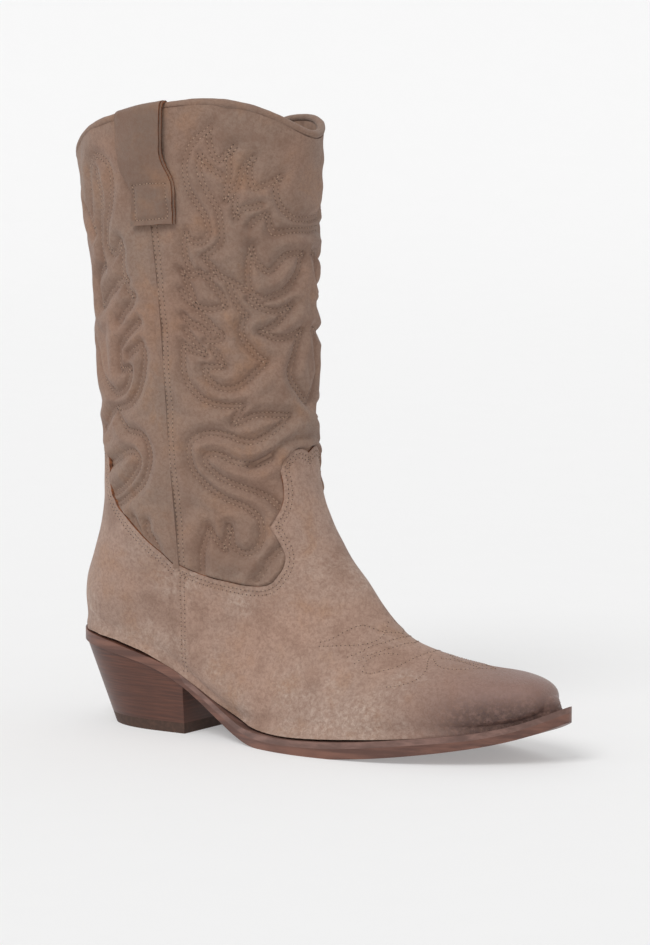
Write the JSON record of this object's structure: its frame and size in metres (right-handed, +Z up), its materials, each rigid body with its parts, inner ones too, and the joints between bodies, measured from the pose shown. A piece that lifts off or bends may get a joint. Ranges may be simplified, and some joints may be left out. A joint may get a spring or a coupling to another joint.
{
  "type": "cowboy boot",
  "caption": "Pull-on western boot with quilted suede shaft, pull straps, pointed toe, leather sole and stacked under-slung heel",
  "frame": {"origin": "middle of the boot's footprint, on the floor that the heel and the ball stand on", "axes": "+Z up, +X towards the toe, -Y the outer (little-toe) side of a right boot"},
  "size_m": [0.2894, 0.1061, 0.3296],
  "materials": {
    "suede": "brushed taupe suede, mottled",
    "strap_suede": "brushed suede with raw edges",
    "piping_suede": "rolled suede",
    "sole_leather": "brown stained, waxed edge",
    "welt_leather": "brown stained",
    "heel_leather": "brown stained and waxed, stacked",
    "top_piece_rubber": "matte brown rubber",
    "lining_leather": "smooth tan brown",
    "lining_textile": "woven canvas",
    "stiffener_board": "resin stiffened felt",
    "insole_leather": "natural, smooth",
    "sock_leather": "smooth tan brown",
    "pad_foam": "cloth covered foam",
    "cork": "granulated cork",
    "steel": "plain spring steel",
    "brass": "plain"
  },
  "bodies": {
    "root": {"cork_filler": "cork", "heel_counter": "suede", "heel_lift_1": "heel_leather", "heel_lift_2": "heel_leather", "heel_lift_3": "heel_leather", "heel_lift_4": "heel_leather", "heel_lift_5": "heel_leather", "heel_lift_6": "heel_leather", "heel_lift_7": "heel_leather", "heel_lift_8": "heel_leather", "heel_lift_9": "heel_leather", "heel_lining": "lining_leather", "heel_nails": "brass", "heel_pad": "pad_foam", "heel_screw": "steel", "heel_stiffener": "stiffener_board", "heel_top_piece": "top_piece_rubber", "insole_board": "insole_leather", "outsole": "sole_leather", "pull_strap_inner": "strap_suede", "pull_strap_outer": "strap_suede", "shaft_back": "suede", "shaft_front": "suede", "shaft_lining_back": "lining_leather", "shaft_lining_front": "lining_leather", "shank_rivets": "steel", "side_seam_inner": "piping_suede", "side_seam_outer": "piping_suede", "sock_liner": "sock_leather", "steel_shank": "steel", "toe_puff": "stiffener_board", "top_piece_nails": "brass", "topline_piping": "piping_suede", "vamp": "suede", "vamp_doubler": "lining_textile", "vamp_lining": "lining_textile", "welt": "welt_leather"}
  },
  "joints": []
}
